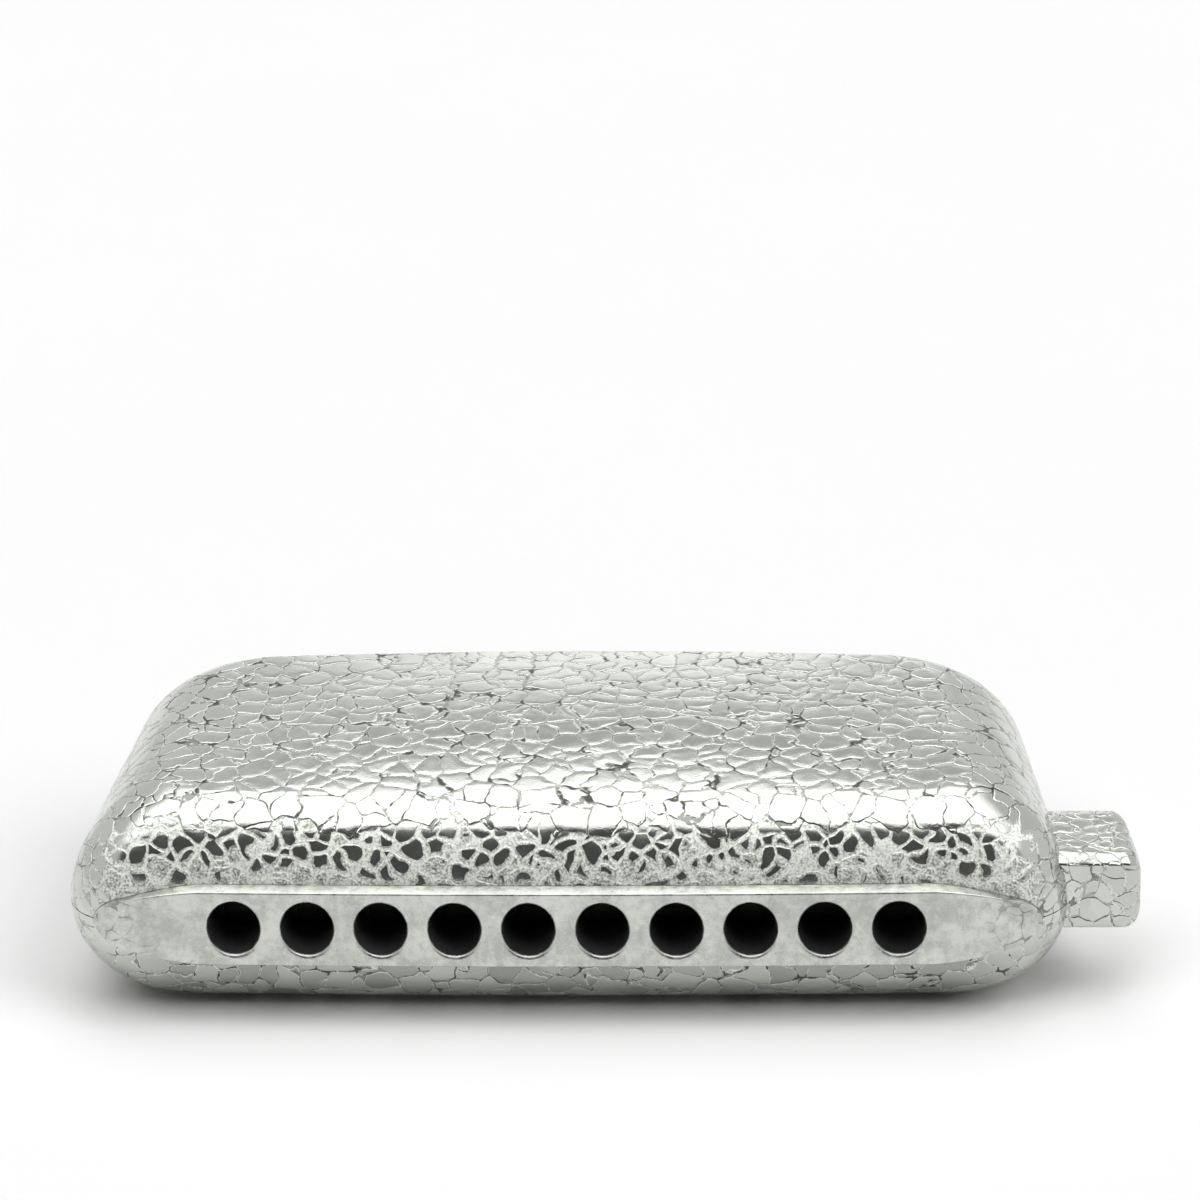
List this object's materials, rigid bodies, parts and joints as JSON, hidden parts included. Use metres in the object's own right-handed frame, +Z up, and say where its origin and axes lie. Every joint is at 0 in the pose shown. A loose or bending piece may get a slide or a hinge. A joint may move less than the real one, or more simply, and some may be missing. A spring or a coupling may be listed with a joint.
{
  "type": "chromatic harmonica",
  "caption": "Pillow-shaped silver harmonica with a row of round blow holes and a sprung side button that shifts a note slide.",
  "frame": {"origin": "centre of the flat resting face under the casing", "axes": "+Z up, +X along the row of holes towards the button, -Y towards the player's mouth"},
  "size_m": [0.1378, 0.056, 0.031],
  "materials": {
    "casing": "crackled silver, bright facets in a fine net of cracks",
    "mouthpiece": "satin cast silver plate",
    "comb": "moulded matt black",
    "reed_plate": "rolled brass sheet",
    "reed": "milled and filed brass",
    "slide_sheet": "lapped sheet steel",
    "screw_steel": "plated steel",
    "bumper": "black rubber sleeve"
  },
  "bodies": {
    "casing": {"upper_cover": "casing", "lower_cover": "casing", "mouthpiece": "mouthpiece", "comb": "comb", "upper_reed_plate": "reed_plate", "lower_reed_plate": "reed_plate", "slide_cage": "slide_sheet", "slide_bed": "slide_sheet", "slide_spring": "screw_steel", "slide_bumper": "bumper", "cover_screw_left": "screw_steel", "cover_screw_right": "screw_steel", "mouthpiece_screw_left": "screw_steel", "mouthpiece_screw_right": "screw_steel", "upper_plate_screw_left": "screw_steel", "upper_plate_screw_right": "screw_steel", "lower_plate_screw_left": "screw_steel", "lower_plate_screw_right": "screw_steel", "natural_blow_reed_01": "reed", "natural_blow_reed_02": "reed", "natural_blow_reed_03": "reed", "natural_blow_reed_04": "reed", "natural_blow_reed_05": "reed", "natural_blow_reed_06": "reed", "natural_blow_reed_07": "reed", "natural_blow_reed_08": "reed", "natural_blow_reed_09": "reed", "natural_blow_reed_10": "reed", "natural_draw_reed_01": "reed", "natural_draw_reed_02": "reed", "natural_draw_reed_03": "reed", "natural_draw_reed_04": "reed", "natural_draw_reed_05": "reed", "natural_draw_reed_06": "reed", "natural_draw_reed_07": "reed", "natural_draw_reed_08": "reed", "natural_draw_reed_09": "reed", "natural_draw_reed_10": "reed", "sharp_blow_reed_01": "reed", "sharp_blow_reed_02": "reed", "sharp_blow_reed_03": "reed", "sharp_blow_reed_04": "reed", "sharp_blow_reed_05": "reed", "sharp_blow_reed_06": "reed", "sharp_blow_reed_07": "reed", "sharp_blow_reed_08": "reed", "sharp_blow_reed_09": "reed", "sharp_blow_reed_10": "reed", "sharp_draw_reed_01": "reed", "sharp_draw_reed_02": "reed", "sharp_draw_reed_03": "reed", "sharp_draw_reed_04": "reed", "sharp_draw_reed_05": "reed", "sharp_draw_reed_06": "reed", "sharp_draw_reed_07": "reed", "sharp_draw_reed_08": "reed", "sharp_draw_reed_09": "reed", "sharp_draw_reed_10": "reed"},
    "slide": {"slide": "slide_sheet", "slide_button": "casing"}
  },
  "joints": [
    {"name": "slide_press", "type": "slide", "parent": "casing", "child": "slide", "axis": [-1, 0, 0], "range_m": [0, 0.0047], "stiffness_N_per_m": 300, "springref_m": -0.003, "deforming": ["slide_spring"]}
  ]
}
